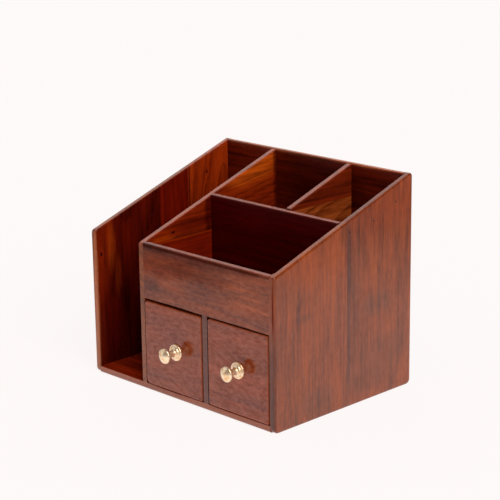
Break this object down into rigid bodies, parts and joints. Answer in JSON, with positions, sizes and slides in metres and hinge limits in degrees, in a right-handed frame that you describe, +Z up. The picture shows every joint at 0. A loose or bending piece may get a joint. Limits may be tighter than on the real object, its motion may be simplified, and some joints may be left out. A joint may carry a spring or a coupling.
{
  "type": "desk organizer",
  "caption": "Sloping wooden pen stand with an open letter bay, divided pen compartments and small inset drawers with turned brass knobs.",
  "frame": {"origin": "middle of the footprint, on the underside", "axes": "+X to the right seen from the front, +Y to the back, +Z up; the drawers open towards -Y"},
  "size_m": [0.22, 0.1812, 0.1837],
  "materials": {
    "side_wood": "glossy varnish, upright grain",
    "board_wood": "glossy varnish, level grain",
    "drawer_wood": "satin varnish, level grain",
    "knob_brass": "polished and turned",
    "screw_steel": "zinc plated"
  },
  "bodies": {
    "carcass": {"left_side_front_stave": "side_wood", "left_side_middle_stave": "side_wood", "left_side_rear_stave": "side_wood", "right_side_front_stave": "side_wood", "right_side_rear_stave": "side_wood", "base_board": "board_wood", "shelf_board": "board_wood", "partition_lower_board": "board_wood", "partition_upper_board": "board_wood", "back_lower_board": "board_wood", "back_upper_board": "board_wood", "apron_board": "board_wood", "cross_partition": "board_wood", "rear_divider_lower_board": "board_wood", "rear_divider_upper_board": "board_wood", "drawer_divider": "board_wood"},
    "left_drawer": {"left_drawer_front": "drawer_wood", "left_drawer_left_side": "drawer_wood", "left_drawer_right_side": "drawer_wood", "left_drawer_back": "drawer_wood", "left_drawer_bottom": "drawer_wood", "left_drawer_knob": "knob_brass", "left_drawer_knob_screw": "screw_steel"},
    "right_drawer": {"right_drawer_front": "drawer_wood", "right_drawer_left_side": "drawer_wood", "right_drawer_right_side": "drawer_wood", "right_drawer_back": "drawer_wood", "right_drawer_bottom": "drawer_wood", "right_drawer_knob": "knob_brass", "right_drawer_knob_screw": "screw_steel"}
  },
  "joints": [
    {"name": "left_drawer_slide", "type": "slide", "parent": "carcass", "child": "left_drawer", "axis": [0, -1, 0], "range_m": [0, 0.12]},
    {"name": "right_drawer_slide", "type": "slide", "parent": "carcass", "child": "right_drawer", "axis": [0, -1, 0], "range_m": [0, 0.12]}
  ]
}
